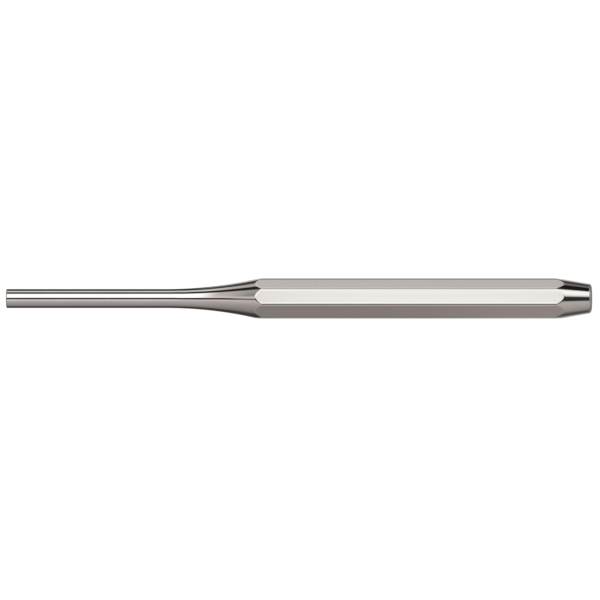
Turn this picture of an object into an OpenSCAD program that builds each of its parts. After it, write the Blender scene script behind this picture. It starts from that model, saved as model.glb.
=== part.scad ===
// Pin punch: a straight round pin that flares out into an octagonal shank, with
// a tapered head to strike. The tool lies on one flat of its shank. Its axis
// runs along X, with the pin's tip towards -X and the struck face towards +X.
// The origin is on the surface that it lies on, under the middle of its length.

/* [Overall] */
// Length of the whole tool, from the tip of the pin to the struck face
overall_l = 150; // [140:1:180]

/* [Pin] */
// Diameter of the straight pin
pin_d = 4.9; // [3.9:0.1:5.9]
// Length of the straight pin, from its tip to the start of the flare
pin_l = 41; // [35:1:50]
// Bevel around the edge of the pin's tip
tip_bevel = 0.25; // [0.1:0.05:0.5]

/* [Neck] */
// Radius of the hollow flare that leads from the pin to the shank
flare_r = 103; // [80:1:130]

/* [Shank] */
// Width of the octagonal shank across its flats
across_flats = 10; // [9.5:0.1:12]
// Rounding along the eight long edges of the shank
edge_r = 0.4; // [0.2:0.05:0.8]

/* [Head] */
// Length of the tapered head, from where the taper touches the flats to the struck face
head_l = 7.2; // [6:0.1:10]
// Angle between the head's taper and the axis of the tool
head_angle = 10; // [6:0.5:14]
// Rounding around the rim of the struck face
rim_r = 1; // [0.3:0.05:1.2]

/* [Hidden] */
$fn = 128;

// segments along one rounded edge of the shank, and along the rounded rim
edge_steps = 4;
rim_steps = 8;

pin_r = pin_d / 2;
flat_r = across_flats / 2;

// the shank's round stock is wider than its corners, so the octagon cuts it everywhere
stock_r = flat_r * 1.25;

// length of flare between the end of the pin and the place where its radius is r
function flare_len(r) = sqrt(2 * flare_r * (r - pin_r) - pow(r - pin_r, 2));

// radius of the head's taper at a distance z from the pin's tip
function taper_r(z) = flat_r + (overall_l - head_l - z) * tan(head_angle);

// the neck ends just before the flats begin, and the head starts just after they run out
neck_end = pin_l + flare_len(flat_r) - 1.5;
head_start = overall_l - head_l + 1.4;

// centre of the rounded rim: it touches the struck face and the taper
rim_z = overall_l - rim_r;
rim_x = taper_r(rim_z) - rim_r / cos(head_angle);

steel = [0.83, 0.82, 0.80];
ground_steel = [0.76, 0.74, 0.72];

// stands the axis of revolution along X, lying on a flat
module along_x() {
    translate([-overall_l / 2, 0, flat_r]) rotate([0, 90, 0]) children();
}

// the hollow that the flare cuts out of a profile, as a disc beside the axis
module flare_hollow() {
    translate([pin_r + flare_r, pin_l]) circle(r = flare_r, $fn = 256);
}

// octagon with rounded corners, one flat facing each way along both axes
module rounded_octagon() {
    reach = (flat_r - edge_r) / cos(22.5);
    polygon([
        for (k = [0 : 7])
            for (j = [0 : edge_steps])
                let (corner = 22.5 + 45 * k, turn = corner + 45 * (j / edge_steps - 0.5))
                    [reach * cos(corner) + edge_r * cos(turn), reach * sin(corner) + edge_r * sin(turn)]
    ]);
}

// straight round pin with a bevelled tip
module pin() {
    color(steel) along_x() rotate_extrude()
        polygon([
            [0, 0],
            [pin_r - tip_bevel, 0],
            [pin_r, tip_bevel],
            [pin_r, pin_l],
            [0, pin_l]
        ]);
}

// hollow flare from the pin up to the shank
module neck() {
    color(steel) along_x() rotate_extrude()
        difference() {
            translate([0, pin_l]) square([stock_r, neck_end - pin_l]);
            flare_hollow();
        }
}

// octagonal shank: the flare and the head's taper leave scalloped ends on its flats
module shank() {
    color(ground_steel) along_x() intersection() {
        translate([0, 0, neck_end - 1])
            linear_extrude(head_start - neck_end + 2) rounded_octagon();
        rotate_extrude() difference() {
            polygon([
                [0, neck_end],
                [stock_r, neck_end],
                [stock_r, overall_l - head_l - (stock_r - flat_r) / tan(head_angle)],
                [taper_r(head_start), head_start],
                [0, head_start]
            ]);
            flare_hollow();
        }
    }
}

// tapered head with a rounded rim and a flat struck face
module head() {
    color(steel) along_x() rotate_extrude()
        polygon(concat(
            [[0, head_start], [taper_r(head_start), head_start]],
            [for (j = [0 : rim_steps])
                let (turn = head_angle + (90 - head_angle) * j / rim_steps)
                    [rim_x + rim_r * cos(turn), rim_z + rim_r * sin(turn)]],
            [[0, overall_l]]
        ));
}

pin();
neck();
shank();
head();
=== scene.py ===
import math

import bpy
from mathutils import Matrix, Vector


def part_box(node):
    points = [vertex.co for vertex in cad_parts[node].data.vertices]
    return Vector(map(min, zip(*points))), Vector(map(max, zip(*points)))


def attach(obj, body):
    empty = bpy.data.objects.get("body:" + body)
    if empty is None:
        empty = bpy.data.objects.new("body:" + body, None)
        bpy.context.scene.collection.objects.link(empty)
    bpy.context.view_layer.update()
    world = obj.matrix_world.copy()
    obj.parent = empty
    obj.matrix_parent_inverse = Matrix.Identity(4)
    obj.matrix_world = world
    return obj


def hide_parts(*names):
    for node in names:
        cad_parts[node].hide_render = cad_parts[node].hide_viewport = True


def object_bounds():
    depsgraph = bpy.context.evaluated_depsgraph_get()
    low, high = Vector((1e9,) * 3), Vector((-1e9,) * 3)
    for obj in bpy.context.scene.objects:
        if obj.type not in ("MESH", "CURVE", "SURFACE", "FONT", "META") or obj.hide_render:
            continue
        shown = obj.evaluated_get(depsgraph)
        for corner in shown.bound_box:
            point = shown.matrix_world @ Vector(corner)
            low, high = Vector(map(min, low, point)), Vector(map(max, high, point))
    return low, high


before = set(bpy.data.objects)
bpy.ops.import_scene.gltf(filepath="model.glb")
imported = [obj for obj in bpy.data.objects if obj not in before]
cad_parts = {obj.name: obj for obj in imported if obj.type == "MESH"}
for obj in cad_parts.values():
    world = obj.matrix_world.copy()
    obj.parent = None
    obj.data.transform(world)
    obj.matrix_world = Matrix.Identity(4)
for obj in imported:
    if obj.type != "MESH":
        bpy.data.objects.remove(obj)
cad_low, cad_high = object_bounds()

# ---------------------------------------------------------------------------
# Sizes in millimetres. t runs along the tool's axis from the tip of the pin.
# What the frame holds is read from it, and the rest repeats part.scad.
# ---------------------------------------------------------------------------
MM = 0.001
LENGTH = (cad_high.x - cad_low.x) / MM
START_X = cad_low.x / MM
FLAT_R = (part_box("shank")[1].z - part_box("shank")[0].z) / 2 / MM
AXIS_Z = (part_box("shank")[1].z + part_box("shank")[0].z) / 2 / MM
PIN_R = (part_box("pin")[1].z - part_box("pin")[0].z) / 2 / MM
PIN_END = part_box("pin")[1].x / MM - START_X
NECK_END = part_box("neck")[1].x / MM - START_X
HEAD_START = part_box("head")[0].x / MM - START_X
TIP_ROUND = 0.27
FLARE_R = 103.0
# polishing rolls each flat over before its edge, gently at first and then faster: (radius, degrees turned, steps, slot)
EDGE_BENDS = ((7.64, 3.0, 4, 2), (1.5, 7.0, 4, 2), (0.10, 12.5, 3, 2))
# the edges were finished by hand, so some are softer than others: a factor for each, from the one next to the upper
# flat on its +Y side, round through +Y
SOFTNESS = (1.0, 0.85, 1.1, 0.95, 1.05, 1.1, 0.8, 1.0)
HEAD_L = 7.2
HEAD_ANGLE = math.radians(10)
RIM_R = 1.0
# how softly polishing has broken the line where a turned surface cuts a flat
CUT_SOFT = 0.052
# the grooves that facing left on the tip and on the struck face
FACING_PITCH = 0.30
FACING_DEPTH = 0.0045

FLAT_STEPS = 16    # quads across the plane part of one flat


def flare_radius(t):
    return PIN_R + FLARE_R - math.sqrt(FLARE_R ** 2 - (t - PIN_END) ** 2)


def flare_slope(t):
    return (t - PIN_END) / math.sqrt(FLARE_R ** 2 - (t - PIN_END) ** 2)


def flare_at(r):
    return PIN_END + math.sqrt(2 * FLARE_R * (r - PIN_R) - (r - PIN_R) ** 2)


def taper_radius(t):
    return FLAT_R + (LENGTH - HEAD_L - t) * math.tan(HEAD_ANGLE)


def taper_at(r):
    return LENGTH - HEAD_L - (r - FLAT_R) / math.tan(HEAD_ANGLE)


def soft_min(a, b, k):
    """The smaller of a and b, rounded where they are within k of each other, with the share that a has in its slope."""
    h = max(k - abs(a - b), 0.0) / k
    low = min(a, b) - h * h * k * 0.25
    share = 0.5 * h
    return low, (1.0 - share if a < b else share)


# ---------------------------------------------------------------------------
# Mesh building
# ---------------------------------------------------------------------------
class Build:
    """Collects points and faces, with a normal and a place on the piece's map for each face corner, then makes a closed
    mesh."""

    def __init__(self):
        self.points, self.faces, self.normals, self.slots, self.places = [], [], [], [], []

    def ring(self, pts):
        first = len(self.points)
        self.points.extend(pts)
        return list(range(first, first + len(pts)))

    def face(self, ids, normals, slot, places):
        self.faces.append(ids)
        self.normals.extend(normals)
        self.slots.append(slot)
        self.places.extend(places)

    def strip(self, lower, upper, n_lower, n_upper, slots, at):
        """Joins two rings. at gives a place on the map from a point, its column and 0 or 1 for the lower or upper ring."""
        count = len(lower)
        for i in range(count):
            j = (i + 1) % count
            slot = slots[i] if isinstance(slots, list) else slots
            self.face(
                (lower[i], upper[i], upper[j], lower[j]),
                (n_lower[i], n_upper[i], n_upper[j], n_lower[j]),
                slot,
                (at(lower[i], i, 0), at(upper[i], i, 1), at(upper[j], i + 1, 1), at(lower[j], i + 1, 0)),
            )

    def cap(self, ring, centre, normal, towards_tip, slot, disc):
        middle = self.ring([centre])[0]
        count = len(ring)
        for i in range(count):
            j = (i + 1) % count
            ids = (ring[i], ring[j], middle) if towards_tip else (ring[j], ring[i], middle)
            self.face(ids, (normal,) * 3, slot, [self.on_disc(k, disc, towards_tip) for k in ids])

    def on_disc(self, k, disc, towards_tip):
        """Place on the map of a point on an end of the piece. A disc is (middle, middle, its radius there, and in mm)."""
        scale = disc[2] / disc[3]
        y = self.points[k][1] / MM
        z = self.points[k][2] / MM - AXIS_Z
        return disc[0] + scale * (-y if towards_tip else y), disc[1] + scale * z

    def make(self, name, materials):
        mesh = bpy.data.meshes.new(name)
        mesh.from_pydata(self.points, [], self.faces)
        for m in materials:
            mesh.materials.append(m)
        mesh.polygons.foreach_set("material_index", self.slots)
        mesh.polygons.foreach_set("use_smooth", [True] * len(self.faces))
        mesh.update()
        mesh.normals_split_custom_set(self.normals)
        mesh.uv_layers.new(name="OFBake").uv.foreach_set("vector", [c for p in self.places for c in p])
        obj = bpy.data.objects.new(name, mesh)
        bpy.context.scene.collection.objects.link(obj)
        return obj


def place(t, r, theta):
    """Point in the frame, in metres: theta is measured round the axis from straight up, towards +Y."""
    return (
        (START_X + t) * MM,
        r * math.sin(theta) * MM,
        (AXIS_Z + r * math.cos(theta)) * MM,
    )


def facing(along, out, round_, theta):
    """Unit normal from its parts along the axis, out from it and round it."""
    v = Vector(
        (
            along,
            out * math.sin(theta) + round_ * math.cos(theta),
            out * math.cos(theta) - round_ * math.sin(theta),
        )
    )
    v.normalize()
    return tuple(v)


def edge_points(softness):
    """One edge between two flats, from where it leaves the first flat: ([(across, out, angle faced, slot)], how far
    before the sharp corner that is), with the first point at zero."""
    across = out = turned_by = 0.0
    found = []
    for radius, degrees, steps, slot in EDGE_BENDS + EDGE_BENDS[::-1]:
        for _ in range(steps):
            found.append((across, out, turned_by, slot))
            a = turned_by + math.radians(degrees) / steps
            across += softness * radius * (math.sin(a) - math.sin(turned_by))
            out += softness * radius * (math.cos(a) - math.cos(turned_by))
            turned_by = a
    return found, -out / math.sin(turned_by)


def octagon_samples():
    """Samples round the octagon, rolled and rounded at its edges: (angle, radius, angle that the surface faces, slot of
    the strip that follows)."""
    eighth = math.pi / 4
    half = FLAT_R * math.tan(eighth / 2)
    found = []
    for k in range(8):
        edge, after = edge_points(SOFTNESS[k])
        before = edge_points(SOFTNESS[k - 1])[1]
        left, right = -half + before, half - after
        # across the flat, then round the edge after it: (across, out, angle faced, slot)
        part = [(left + (right - left) * i / FLAT_STEPS, FLAT_R, 0.0, 1) for i in range(FLAT_STEPS)]
        part += [(right + across, FLAT_R + out, a, slot) for across, out, a, slot in edge]
        for across, out, a, slot in part:
            found.append((k * eighth + math.atan2(across, out), math.hypot(across, out), k * eighth + a, slot))
    return found


SAMPLES = octagon_samples()
THETAS = [s[0] for s in SAMPLES]


def across_map(part):
    """Place across a map of a part of the way round. It runs backwards, so that the map isn't mirrored."""
    return 0.996 - 0.992 * part


def turned(name, profile, materials, bands, discs):
    """A closed piece turned about the axis. The profile runs from the tip's side to the head's side, and each
    entry is (t, radius, normal before, normal after, slot of the strip that follows), a normal being (along, out).
    bands has the part of the map's height, from and to, that each slot's strips fill. discs has the place of the end
    towards the tip and of the end towards the head, with any strips of slot 1: (middle, middle, radius)."""
    b = Build()
    rings = []
    for t, r, _, _, _ in profile:
        rings.append(b.ring([place(t, r, th) for th in THETAS]))
    columns = [across_map((th - THETAS[0]) / (2 * math.pi)) for th in THETAS + [THETAS[0] + 2 * math.pi]]
    strips = list(zip(profile, profile[1:]))
    lengths = [math.hypot(q[0] - p[0], q[1] - p[1]) for p, q in strips]
    whole = {s: sum(w for w, (p, _) in zip(lengths, strips) if p[4] == s) for s in bands}
    done = dict.fromkeys(bands, 0.0)
    faced = [p[1] for p in profile if p[4] == 1] + [q[1] for p, q in strips if p[4] == 1]
    tip_disc = (*discs[0], max(faced) if profile[0][4] == 1 else profile[0][1])
    head_disc = (*discs[1], max(faced) if profile[-2][4] == 1 else profile[-1][1])
    for i, ((_, _, _, after, slot), (_, _, before, _, _)) in enumerate(strips):
        if slot in bands:
            low, high = bands[slot]
            ends = [low + (high - low) * (done[slot] + w) / whole[slot] for w in (0.0, lengths[i])]
            done[slot] += lengths[i]

            def at(k, column, level):
                return columns[column], ends[level]
        else:
            towards_tip = after[0] < 0

            def at(k, column, level):
                return b.on_disc(k, tip_disc if towards_tip else head_disc, towards_tip)

        b.strip(
            rings[i],
            rings[i + 1],
            [facing(after[0], after[1], 0, th) for th in THETAS],
            [facing(before[0], before[1], 0, th) for th in THETAS],
            slot,
            at,
        )
    b.cap(rings[0], place(profile[0][0], 0, 0), (-1, 0, 0), True, profile[0][4], tip_disc)
    b.cap(rings[-1], place(profile[-1][0], 0, 0), (1, 0, 0), False, profile[-2][4], head_disc)
    return b.make(name, materials)


def faced_rings(t, radius, way):
    """Profile points, from the middle outwards, of an end face that was turned square: shallow grooves round the axis.
    way is -1 on the face towards the tip and 1 on the struck face."""
    count = round(radius / FACING_PITCH)
    pitch = radius / count
    found = []
    for i in range(1, 4 * count):
        r = pitch * i / 4
        depth = FACING_DEPTH * (0.75 + 0.25 * math.sin(2.1 * r + 0.8))
        turn_ = 2 * math.pi * i / 4
        n = (way, depth * math.pi / pitch * math.sin(turn_))
        found.append((t - way * depth / 2 * (1 - math.cos(turn_)), r, n, n, 1))
    return found


# ---------------------------------------------------------------------------
# Materials
# ---------------------------------------------------------------------------
def new_material(name):
    m = bpy.data.materials.new(name)
    m.use_nodes = True
    tree = m.node_tree
    tree.nodes.clear()
    out = tree.nodes.new("ShaderNodeOutputMaterial")
    shader = tree.nodes.new("ShaderNodeBsdfPrincipled")
    tree.links.new(shader.outputs["BSDF"], out.inputs["Surface"])
    shader.inputs["Metallic"].default_value = 1.0
    return m, tree, shader


def node(tree, kind, **values):
    n = tree.nodes.new(kind)
    for key, value in values.items():
        if key in n.inputs:
            n.inputs[key].default_value = value
        else:
            setattr(n, key, value)
    return n


def stretched_noise(tree, scale_xyz, detail=3.0, rough=0.55):
    """Noise in the piece's own space, drawn out by different amounts along each axis."""
    coords = node(tree, "ShaderNodeTexCoord")
    mapping = node(tree, "ShaderNodeMapping")
    mapping.inputs["Scale"].default_value = scale_xyz
    noise = node(tree, "ShaderNodeTexNoise", Scale=1.0, Detail=detail, Roughness=rough)
    tree.links.new(coords.outputs["Object"], mapping.inputs["Vector"])
    tree.links.new(mapping.outputs["Vector"], noise.inputs["Vector"])
    return noise.outputs["Fac"]


def ranged(tree, value, low, high, start=0.3, stop=0.7):
    n = node(tree, "ShaderNodeMapRange")
    n.inputs["From Min"].default_value = start
    n.inputs["From Max"].default_value = stop
    n.inputs["To Min"].default_value = low
    n.inputs["To Max"].default_value = high
    tree.links.new(value, n.inputs["Value"])
    return n.outputs["Result"]


def tinted(tree, value, dark, light, start=0.3, stop=0.7):
    n = node(tree, "ShaderNodeValToRGB")
    n.color_ramp.elements[0].position = start
    n.color_ramp.elements[0].color = (*dark, 1)
    n.color_ramp.elements[1].position = stop
    n.color_ramp.elements[1].color = (*light, 1)
    tree.links.new(value, n.inputs["Fac"])
    return n.outputs["Color"]


def bumped(tree, height, strength, distance, under=None):
    n = node(tree, "ShaderNodeBump")
    n.inputs["Strength"].default_value = strength
    n.inputs["Distance"].default_value = distance
    tree.links.new(height, n.inputs["Height"])
    if under is not None:
        tree.links.new(under, n.inputs["Normal"])
    return n.outputs["Normal"]


def polished_chrome():
    """Bright plating over turned steel: fine lines round the axis, and a faint haze from handling."""
    m, tree, shader = new_material("polished_chrome")
    lines = stretched_noise(tree, (9000, 60, 60), 2.0)
    haze = stretched_noise(tree, (140, 260, 260), 4.0, 0.6)
    tree.links.new(tinted(tree, haze, (0.80, 0.785, 0.77), (0.84, 0.83, 0.82)), shader.inputs["Base Color"])
    tree.links.new(ranged(tree, haze, 0.02, 0.05), shader.inputs["Roughness"])
    tree.links.new(bumped(tree, lines, 0.05, 0.000004), shader.inputs["Normal"])
    return m


def ground_chrome(name, dark, light, smooth, rough):
    """Plated flats that were ground lengthwise: long fine scratches that catch the light across the grain."""
    m, tree, shader = new_material(name)
    fine = stretched_noise(tree, (40, 26000, 26000), 3.0, 0.65)
    broad = stretched_noise(tree, (12, 3200, 3200), 3.0, 0.6)
    haze = stretched_noise(tree, (14, 900, 900), 4.0, 0.6)
    tree.links.new(tinted(tree, broad, dark, light), shader.inputs["Base Color"])
    tree.links.new(ranged(tree, haze, smooth, rough), shader.inputs["Roughness"])
    under = bumped(tree, broad, 0.05, 0.000006)
    tree.links.new(bumped(tree, fine, 0.06, 0.000004, under), shader.inputs["Normal"])
    return m


def faced_chrome():
    """Plated end faces that were turned square: shallow rings round the axis."""
    m, tree, shader = new_material("faced_chrome")
    coords = node(tree, "ShaderNodeTexCoord")
    mapping = node(tree, "ShaderNodeMapping")
    mapping.inputs["Location"].default_value = (0, 0, -AXIS_Z * MM)
    tree.links.new(coords.outputs["Object"], mapping.inputs["Vector"])
    rings = node(tree, "ShaderNodeTexWave", Scale=4500.0, Distortion=0.6, Detail=2.0)
    rings.wave_type = "RINGS"
    rings.rings_direction = "X"
    rings.inputs["Detail Scale"].default_value = 1.5
    tree.links.new(mapping.outputs["Vector"], rings.inputs["Vector"])
    haze = stretched_noise(tree, (200, 600, 600), 4.0, 0.6)
    tree.links.new(tinted(tree, haze, (0.76, 0.745, 0.73), (0.82, 0.81, 0.80)), shader.inputs["Base Color"])
    tree.links.new(ranged(tree, haze, 0.14, 0.24), shader.inputs["Roughness"])
    tree.links.new(bumped(tree, rings.outputs["Fac"], 0.15, 0.000003), shader.inputs["Normal"])
    return m


def rim_wear_and_painted_shade():
    """Rims that blows have dulled: the plating is worn thin, and the colour is made darker still as painted shade, for
    a dark line along the rounded ends, with a soft uneven sheen.
    """
    m, tree, shader = new_material("rim_wear_and_painted_shade")
    wear_and_shade = stretched_noise(tree, (1500, 1500, 1500), 4.0, 0.6)
    pits = stretched_noise(tree, (7000, 7000, 7000), 3.0, 0.6)
    # painted shade: a base colour far darker than the plating elsewhere, so the rounded ends show a dark outline line
    tree.links.new(tinted(tree, wear_and_shade, (0.34, 0.33, 0.325), (0.46, 0.45, 0.44)), shader.inputs["Base Color"])
    tree.links.new(ranged(tree, wear_and_shade, 0.36, 0.26), shader.inputs["Roughness"])
    tree.links.new(bumped(tree, pits, 0.15, 0.000006), shader.inputs["Normal"])
    return m


POLISHED = polished_chrome()
GROUND = ground_chrome("ground_chrome", (0.675, 0.651, 0.633), (0.715, 0.690, 0.670), 0.09, 0.11)
WORN = ground_chrome("worn_chrome", (0.71, 0.685, 0.67), (0.75, 0.725, 0.71), 0.03, 0.05)
FACED = faced_chrome()
RIM_WEAR_AND_SHADE = rim_wear_and_painted_shade()


# ---------------------------------------------------------------------------
# Pieces
# ---------------------------------------------------------------------------
def arc(t_mid, r_mid, radius, start, stop, steps, slot):
    """Profile points along a rounded corner. Angles are from straight out, towards the head."""
    found = []
    for i in range(steps + 1):
        a = start + (stop - start) * i / steps
        n = (math.sin(a), math.cos(a))
        found.append((t_mid + radius * n[0], r_mid + radius * n[1], n, n, slot))
    return found


def make_pin():
    q = math.pi / 2
    # the tip's rounding takes the darker rim colour, with its painted shade
    profile = arc(TIP_ROUND, PIN_R - TIP_ROUND, TIP_ROUND, -q, -q / 9, 8, 2)
    profile += arc(TIP_ROUND, PIN_R - TIP_ROUND, TIP_ROUND, -q / 9, 0, 2, 0)[1:]
    face = faced_rings(0.0, PIN_R - TIP_ROUND, -1)
    out = (0, 1)
    rest = PIN_END - TIP_ROUND
    along = [(TIP_ROUND + rest * i / 24, PIN_R, out, out, 0) for i in range(1, 25)]
    edge = (*profile[0][:2], (-1, 0), profile[0][3], 2)
    return turned(
        "pin_body",
        face + [edge] + profile[1:] + along,
        [POLISHED, FACED, RIM_WEAR_AND_SHADE],
        {0: (0.01, 0.66), 2: (0.69, 0.73)},
        ((0.13, 0.87, 0.12), (0.40, 0.87, 0.06)),
    )


def make_neck():
    profile = []
    for i in range(41):
        t = PIN_END + (NECK_END - PIN_END) * i / 40
        slope = flare_slope(t)
        n = (-slope, 1.0)
        profile.append((t, flare_radius(t), n, n, 0))
    return turned(
        "neck_body", profile, [POLISHED], {0: (0.01, 0.86)}, ((0.10, 0.94, 0.05), (0.30, 0.94, 0.05))
    )


def make_head():
    side = (math.sin(HEAD_ANGLE), math.cos(HEAD_ANGLE))
    rim_t = LENGTH - RIM_R
    rim_r = taper_radius(rim_t) - RIM_R / math.cos(HEAD_ANGLE)
    rim = arc(rim_t, rim_r, RIM_R, HEAD_ANGLE, math.radians(13), 2, 0)[:-1]
    # the rim's rounding takes the darker rim colour, with its painted shade
    rim += arc(rim_t, rim_r, RIM_R, math.radians(13), math.pi / 2, 15, 2)
    end_t = rim[0][0]
    taper = [
        (t, taper_radius(t), side, side, 0)
        for t in [HEAD_START + (end_t - HEAD_START) * i / 10 for i in range(10)]
    ]
    last = rim[-1]
    rim[-1] = (last[0], last[1], last[2], (1, 0), 1)
    return turned(
        "head_body",
        taper + rim + faced_rings(LENGTH, rim_r, 1)[::-1],
        [POLISHED, FACED, RIM_WEAR_AND_SHADE],
        {0: (0.01, 0.28), 2: (0.31, 0.44)},
        ((0.80, 0.72, 0.08), (0.28, 0.72, 0.26)),
    )


def make_shank():
    """Rounded octagon whose flats run out into the flare and into the head's taper. The mesh follows both cut lines."""
    steep_l = flare_slope(flare_at(FLAT_R))
    steep_r = math.tan(HEAD_ANGLE)
    near = [0.0, 0.25, 0.5, 0.75, 1.0, 1.3, 1.8, 3.0]

    def rows(theta, r_oct):
        cut_l, cut_r = flare_at(r_oct), taper_at(r_oct)
        band_l, band_r = CUT_SOFT / steep_l, CUT_SOFT / steep_r
        offs_l = [-f * band_l for f in reversed(near[1:])] + [f * band_l for f in near]
        offs_r = [-f * band_r for f in reversed(near[1:])] + [f * band_r for f in near]
        left = [cut_l + o for o in offs_l]
        right = [cut_r + o for o in offs_r]
        lead = [NECK_END + (left[0] - NECK_END) * i / 5 for i in range(5)]
        mid = [left[-1] + (right[0] - left[-1]) * i / 17 for i in range(1, 17)]
        tail = [right[-1] + (HEAD_START - right[-1]) * i / 5 for i in range(1, 6)]
        return lead + left + mid + right + tail

    columns = [rows(th, r) for th, r, _, _ in SAMPLES]
    count = len(columns[0])
    n_lead = 5
    n_near = 2 * len(near) - 1
    first_flat = n_lead + n_near - 3
    last_flat = n_lead + n_near + 16 + 2
    b = Build()
    rings, normals = [], []
    for j in range(count):
        pts, nrm = [], []
        for i, (th, r_oct, face, _) in enumerate(SAMPLES):
            t = columns[i][j]
            if t < LENGTH / 2 + 20:
                r_rev, slope = flare_radius(t), flare_slope(t)
            else:
                r_rev, slope = taper_radius(t), -math.tan(HEAD_ANGLE)
            r, share = soft_min(r_oct, r_rev, CUT_SOFT)
            pts.append(place(t, r, th))
            nrm.append(facing(-(1 - share) * slope, 1.0, -share * (r_oct / r) * math.tan(th - face), th))
        rings.append(b.ring(pts))
        normals.append(nrm)
    # the map runs along the rows, so that a row that follows a cut line is straight on it
    corners = [(r * math.sin(th), r * math.cos(th)) for th, r, _, _ in SAMPLES]
    steps = [math.dist(corners[i], corners[(i + 1) % len(corners)]) for i in range(len(corners))]
    across = [across_map(sum(steps[:i]) / sum(steps)) for i in range(len(steps) + 1)]
    means = [sum(c[j] for c in columns) / len(columns) for j in range(count)]
    along = [0.01 + 0.90 * (m - means[0]) / (means[-1] - means[0]) for m in means]
    for j in range(count - 1):
        flat_row = first_flat <= j <= last_flat
        slots = [s[3] for s in SAMPLES] if flat_row else 0

        def at(k, column, level):
            return across[column], along[j + level]

        b.strip(rings[j], rings[j + 1], normals[j], normals[j + 1], slots, at)
    b.cap(rings[0], place(NECK_END, 0, 0), (-1, 0, 0), True, 0, (0.10, 0.96, 0.035, FLAT_R))
    b.cap(rings[-1], place(HEAD_START, 0, 0), (1, 0, 0), False, 0, (0.30, 0.96, 0.035, FLAT_R))
    return b.make("shank_body", [POLISHED, GROUND, WORN])


for piece, cad_node, slot in (
    (make_pin(), "pin", "polished_chrome"),
    (make_neck(), "neck", "polished_chrome"),
    (make_shank(), "shank", "ground_chrome"),
    (make_head(), "head", "polished_chrome"),
):
    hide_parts(cad_node)
    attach(piece, "root")

# ---------------------------------------------------------------------------
# Camera: nearly overhead, square to the tool's length
# ---------------------------------------------------------------------------
ELEVATION = math.radians(84.9)
DISTANCE = 1.2
FRAME_WIDTH = 0.15378   # what the picture's width covers at the tool's axis
PIXEL = FRAME_WIDTH / 600
back = Vector((0, -math.cos(ELEVATION), math.sin(ELEVATION)))
up = Vector((0, math.sin(ELEVATION), math.cos(ELEVATION)))
aim = Vector((0, 0, AXIS_Z * MM)) + Vector((1.02 * PIXEL, 0, 0)) - up * (1.45 * PIXEL)
cam_data = bpy.data.cameras.new("camera")
cam_data.sensor_width = 36.0
cam_data.lens = 36.0 * DISTANCE / FRAME_WIDTH
cam_data.clip_start = 0.01
cam_data.clip_end = 50.0
camera = bpy.data.objects.new("camera", cam_data)
bpy.context.scene.collection.objects.link(camera)
camera.location = aim + back * DISTANCE
camera.rotation_mode = "QUATERNION"
camera.rotation_quaternion = (-back).to_track_quat("-Z", "Y")
bpy.context.scene.camera = camera

# ---------------------------------------------------------------------------
# Studio: a white table, and lights that the chrome mirrors as long bands
# ---------------------------------------------------------------------------
floor_mesh = bpy.data.meshes.new("floor")
floor_mesh.from_pydata(
    [(-4, -4, -0.00003), (4, -4, -0.00003), (4, 4, -0.00003), (-4, 4, -0.00003)], [], [(0, 1, 2, 3)]
)
floor = bpy.data.objects.new("floor", floor_mesh)
bpy.context.scene.collection.objects.link(floor)
floor_mat = bpy.data.materials.new("pale_floor")
floor_mat.use_nodes = True
floor_shader = floor_mat.node_tree.nodes["Principled BSDF"]
floor_shader.inputs["Base Color"].default_value = (0.9, 0.9, 0.9, 1)
floor_shader.inputs["Roughness"].default_value = 0.9
floor_shader.inputs["Specular IOR Level"].default_value = 0.0
floor_shader.inputs["Emission Color"].default_value = (1, 1, 1, 1)
floor_shader.inputs["Emission Strength"].default_value = 0.8
floor_mesh.materials.append(floor_mat)
floor.visible_glossy = False

# Bands run round the tool's axis: each stop is (degrees from the camera's side, towards +Y positive; brightness; tint).
WARM = (1.0, 0.97, 0.94)
PANEL = (1.0, 0.985, 0.95)
ROSE = (1.0, 0.895, 0.87)
SAND = (1.0, 0.925, 0.87)
WHITE = (1.0, 0.995, 0.985)
# what the shank mirrors, at its end near the neck and at its end near the head
MIDDLE = [
    (-174, 0.27, WARM), (-104, 0.21, ROSE), (-94, 0.23, ROSE), (-81, 0.31, ROSE), (-76, 0.31, ROSE),
    (-73, 0.41, ROSE), (-70, 0.64, WARM), (-60, 0.72, WARM), (-12, 0.84, WARM), (-9.5, 0.02, WARM), (4.6, 0.02, WARM),
    (6.1, 1.40, WHITE), (18, 1.05, WHITE), (56, 1.05, WHITE), (60, 0.80, WARM), (75, 0.70, WARM), (78, 0.02, WARM),
    (86.5, 0.02, WARM), (89, 0.73, PANEL), (98.5, 0.73, PANEL), (101.6, 0.78, PANEL), (103, 0.03, WARM),
    (106.5, 0.04, WARM), (109, 0.25, WARM), (155, 0.27, WARM), (185, 0.50, WARM),
]
MIDDLE_RIGHT = [
    (-174, 0.36, WARM), (-104, 0.24, ROSE), (-94, 0.27, ROSE), (-81, 0.39, ROSE), (-76, 0.39, ROSE),
    (-73, 0.48, ROSE), (-70, 0.68, WARM), (-60, 0.74, WARM), (-12, 0.84, WARM), (-9.5, 0.02, WARM), (4.6, 0.02, WARM),
    (6.1, 1.40, WHITE), (18, 1.05, WHITE), (56, 1.05, WHITE), (60, 0.80, WARM), (75, 0.70, WARM), (78, 0.02, WARM),
    (86.5, 0.02, WARM), (89, 0.73, PANEL), (98.5, 0.73, PANEL), (101.6, 0.78, PANEL), (103, 0.03, WARM),
    (106.5, 0.04, WARM), (109, 0.25, WARM), (155, 0.27, WARM), (185, 0.50, WARM),
]
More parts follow.
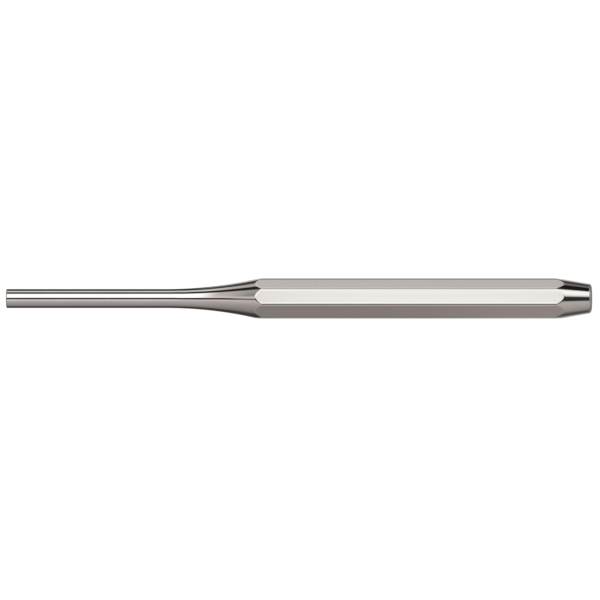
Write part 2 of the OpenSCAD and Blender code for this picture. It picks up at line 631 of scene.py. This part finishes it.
# what the pin mirrors
PIN = [
    (-174, 0.33, WARM), (-165, 0.30, WARM), (-152, 0.10, WARM), (-128, 0.045, WARM), (-110, 0.05, ROSE),
    (-104, 0.20, ROSE), (-94, 0.28, ROSE), (-37, 0.48, ROSE), (-11, 0.80, WARM), (-8.5, 0.02, WARM), (9, 0.02, WARM),
    (11, 1.26, WHITE), (56.5, 1.27, WHITE), (59.5, 0.025, WARM), (81, 0.02, WARM), (84, 0.76, PANEL),
    (103.5, 0.76, PANEL), (106.5, 0.05, WARM), (140, 0.04, WARM), (155, 0.10, WARM), (166, 0.40, WARM),
    (185, 0.50, WARM),
]
# what the start of the flare mirrors, and then its steeper parts
FLARE = [
    (-174, 0.28, WARM), (-160, 0.14, WARM), (-146, 0.07, WARM), (-132, 0.045, WARM), (-110, 0.05, ROSE),
    (-104, 0.18, ROSE), (-94, 0.26, ROSE), (-50, 0.455, ROSE), (-37, 0.48, ROSE), (-24, 0.56, WARM),
    (-13, 0.76, WARM), (-10, 0.02, WARM), (7, 0.015, WARM), (9, 1.26, WHITE), (55, 1.27, WHITE), (58, 0.02, WARM),
    (78, 0.015, WARM), (82, 0.72, PANEL), (100, 0.70, PANEL), (105, 0.06, WARM), (127, 0.05, WARM), (135, 0.18, WARM),
    (143, 0.55, WARM), (152, 0.85, WHITE), (165, 0.95, WHITE), (185, 0.95, WHITE),
]
LEFT = [
    (-174, 0.28, WARM), (-160, 0.14, WARM), (-146, 0.07, WARM), (-130, 0.045, WARM), (-112, 0.055, ROSE),
    (-97, 0.21, ROSE), (-24, 0.52, ROSE), (-14, 0.74, ROSE), (-10.5, 0.68, ROSE), (-8, 0.015, WARM),
    (4.5, 0.015, WARM), (6.5, 0.80, ROSE), (27, 0.60, ROSE), (55.5, 0.55, ROSE), (57, 0.45, ROSE), (59.5, 0.02, WARM),
    (77.5, 0.012, WARM), (82, 0.48, ROSE), (87, 0.54, ROSE), (100, 0.48, ROSE), (108, 0.07, ROSE), (127, 0.05, WARM),
    (135, 0.18, WARM), (143, 0.55, WARM), (152, 0.85, WHITE), (185, 0.95, WHITE),
]
FAR_LEFT = [
    (-174, 0.28, WARM), (-160, 0.14, WARM), (-146, 0.07, WARM), (-128, 0.045, WARM), (-112, 0.07, ROSE),
    (-92, 0.24, ROSE), (-46, 0.38, ROSE), (-13, 0.62, ROSE), (-9, 0.20, ROSE), (-2.5, 0.20, ROSE), (4, 0.70, ROSE),
    (9, 0.68, ROSE), (15, 0.34, WARM), (22, 0.28, WARM), (46, 0.37, WARM), (55.5, 0.33, WARM), (58.5, 0.03, WARM),
    (75.5, 0.006, WARM), (80.5, 0.30, ROSE), (86, 0.48, ROSE), (102, 0.34, ROSE), (112, 0.065, ROSE),
    (127, 0.055, WARM), (135, 0.18, WARM), (143, 0.55, WARM), (152, 0.85, WHITE), (185, 0.95, WHITE),
]
# what the head mirrors: near its outline, and over the rest of its taper
HEAD_EDGE = [
    (-174, 0.70, WARM), (-138, 0.28, WARM), (-128, 0.11, WARM), (-112, 0.07, ROSE), (-76, 0.36, ROSE),
    (-30, 0.52, ROSE), (-20, 0.43, ROSE), (-14, 0.03, WARM), (9, 0.03, WARM), (14, 1.00, WHITE), (54, 1.10, WHITE),
    (58.5, 0.03, WARM), (86, 0.012, WARM), (92, 0.40, PANEL), (102, 0.40, PANEL), (108, 0.06, WARM),
    (125, 0.05, WARM), (132, 0.15, WARM), (147, 0.66, WHITE), (157, 0.80, WHITE), (185, 0.90, WHITE),
]
RIGHT = [
    (-174, 0.70, WARM), (-138, 0.28, WARM), (-128, 0.11, WARM), (-118, 0.075, ROSE), (-111, 0.08, ROSE),
    (-100, 0.18, ROSE), (-91, 0.29, ROSE), (-82, 0.35, ROSE), (-26, 0.51, SAND), (-20.5, 0.45, SAND),
    (-14, 0.03, WARM), (5, 0.025, WARM), (9.5, 0.07, WARM), (17, 0.72, WARM), (24, 1.03, WHITE), (38, 1.16, WHITE),
    (50, 1.08, WHITE), (54.5, 0.85, WHITE), (58.5, 0.03, WARM), (66, 0.012, WARM), (88, 0.012, WARM),
    (94, 0.19, ROSE), (101, 0.23, ROSE), (110, 0.07, ROSE), (125, 0.05, WARM), (132, 0.15, WARM), (147, 0.66, WHITE),
    (185, 0.90, WHITE),
]
# the rest of the studio, to either side: a strip light overhead, a softbox on each side, a dark horizon, a pale floor
SIDE = [
    (-174, 0.62, WARM), (-96.5, 0.31, WARM), (-94.5, 0.06, WARM), (-90.5, 0.06, WARM), (-88.5, 0.44, WARM),
    (-68, 0.80, WARM), (-48, 0.84, WARM), (-41, 0.52, WARM), (-10.5, 0.48, WARM), (-8.5, 0.10, WARM),
    (-6, 0.10, WARM), (-4, 0.95, WHITE), (14, 0.95, WHITE), (16, 0.10, WARM), (18.5, 0.10, WARM), (20.5, 0.48, WARM),
    (50, 0.52, WARM), (57, 0.95, WARM), (76, 0.92, WARM), (98, 0.46, WARM), (100, 0.06, WARM), (104, 0.06, WARM),
    (106, 0.33, WARM), (150, 0.46, WARM), (185, 0.62, WARM),
]
TILT = math.degrees(math.pi / 2 - ELEVATION)

world = bpy.data.worlds.new("studio")
bpy.context.scene.world = world
world.use_nodes = True
world.cycles.sampling_method = "NONE"
wt = world.node_tree
wt.nodes.clear()
w_out = wt.nodes.new("ShaderNodeOutputWorld")
direction = wt.nodes.new("ShaderNodeTexCoord")
split = wt.nodes.new("ShaderNodeSeparateXYZ")
wt.links.new(direction.outputs["Generated"], split.inputs["Vector"])
angle = node(wt, "ShaderNodeMath", operation="ARCTAN2")
wt.links.new(split.outputs["Y"], angle.inputs[0])
wt.links.new(split.outputs["Z"], angle.inputs[1])
turn = node(wt, "ShaderNodeMath", operation="MULTIPLY_ADD")
turn.inputs[1].default_value = 1 / (2 * math.pi)
turn.inputs[2].default_value = 0.5
wt.links.new(angle.outputs[0], turn.inputs[0])


def band_ramp(stops):
    ramp = wt.nodes.new("ShaderNodeValToRGB")
    wt.links.new(turn.outputs[0], ramp.inputs["Fac"])
    e = ramp.color_ramp.elements
    while len(e) < len(stops):
        e.new(1.0)
    for item, (deg, level, tint) in zip(e, stops):
        item.position = min(max((deg - TILT + 180) / 360, 0.0), 1.0)
        item.color = (*[level * c for c in tint], 1)
    return ramp.outputs["Color"]


def sideways(start, stop):
    """0 at start degrees towards +X and 1 at stop degrees, smoothly."""
    n = node(wt, "ShaderNodeMapRange", interpolation_type="SMOOTHSTEP")
    n.inputs["From Min"].default_value = math.sin(math.radians(start))
    n.inputs["From Max"].default_value = math.sin(math.radians(stop))
    wt.links.new(split.outputs["X"], n.inputs["Value"])
    return n.outputs["Result"]


def steeper(start, stop, x):
    """0 where the camera sees a direction mirrored by a surface, at x along the tool, that faces start degrees towards
    +X, and 1 at stop."""
    towards = (camera.location - Vector((x * MM, 0, AXIS_Z * MM))).normalized()
    total = node(wt, "ShaderNodeVectorMath", operation="ADD")
    total.inputs[1].default_value = towards
    wt.links.new(direction.outputs["Generated"], total.inputs[0])
    halfway = node(wt, "ShaderNodeVectorMath", operation="NORMALIZE")
    wt.links.new(total.outputs["Vector"], halfway.inputs[0])
    parts = node(wt, "ShaderNodeSeparateXYZ")
    wt.links.new(halfway.outputs["Vector"], parts.inputs["Vector"])
    n = node(wt, "ShaderNodeMapRange", interpolation_type="SMOOTHSTEP")
    n.inputs["From Min"].default_value = math.sin(math.radians(start))
    n.inputs["From Max"].default_value = math.sin(math.radians(stop))
    wt.links.new(parts.outputs["X"], n.inputs["Value"])
    return n.outputs["Result"]


def mixed_color(fac, a, b):
    n = wt.nodes.new("ShaderNodeMixRGB")
    wt.links.new(fac, n.inputs["Fac"])
    wt.links.new(a, n.inputs["Color1"])
    wt.links.new(b, n.inputs["Color2"])
    return n.outputs["Color"]


bands = mixed_color(sideways(1.4, 2.8), band_ramp(MIDDLE), band_ramp(MIDDLE_RIGHT))
for start, stop, stops in (
    (-0.6, -1.5, PIN),
    (-3.7, -5.6, FLARE),
    (-9.5, -16, LEFT),
    (-16, -25, FAR_LEFT),
    (3.7, 5.6, HEAD_EDGE),
    (6, 16, RIGHT),
):
    bands = mixed_color(sideways(start, stop), bands, band_ramp(stops))
side_bands = band_ramp(SIDE)
for start, stop, x in ((-13.9, -14.7, -12), (11.4, 12.8, 71)):
    bands = mixed_color(steeper(start, stop, x), bands, side_bands)
mirrored = wt.nodes.new("ShaderNodeBackground")
wt.links.new(bands, mirrored.inputs["Color"])
plain = wt.nodes.new("ShaderNodeBackground")
plain.inputs["Color"].default_value = (1, 1, 1, 1)
plain.inputs["Strength"].default_value = 0.3
behind = wt.nodes.new("ShaderNodeBackground")
behind.inputs["Color"].default_value = (1, 1, 1, 1)
behind.inputs["Strength"].default_value = 1.05
path = wt.nodes.new("ShaderNodeLightPath")
seen = wt.nodes.new("ShaderNodeMixShader")
wt.links.new(path.outputs["Is Camera Ray"], seen.inputs["Fac"])
wt.links.new(plain.outputs["Background"], seen.inputs[1])
wt.links.new(behind.outputs["Background"], seen.inputs[2])
either = wt.nodes.new("ShaderNodeMixShader")
wt.links.new(path.outputs["Is Glossy Ray"], either.inputs["Fac"])
wt.links.new(seen.outputs["Shader"], either.inputs[1])
wt.links.new(mirrored.outputs["Background"], either.inputs[2])
wt.links.new(either.outputs["Shader"], w_out.inputs["Surface"])

view = bpy.context.scene.view_settings
view.view_transform = "Standard"
view.look = "None"
view.exposure = 0.0
view.gamma = 1.0

bpy.context.view_layer.update()
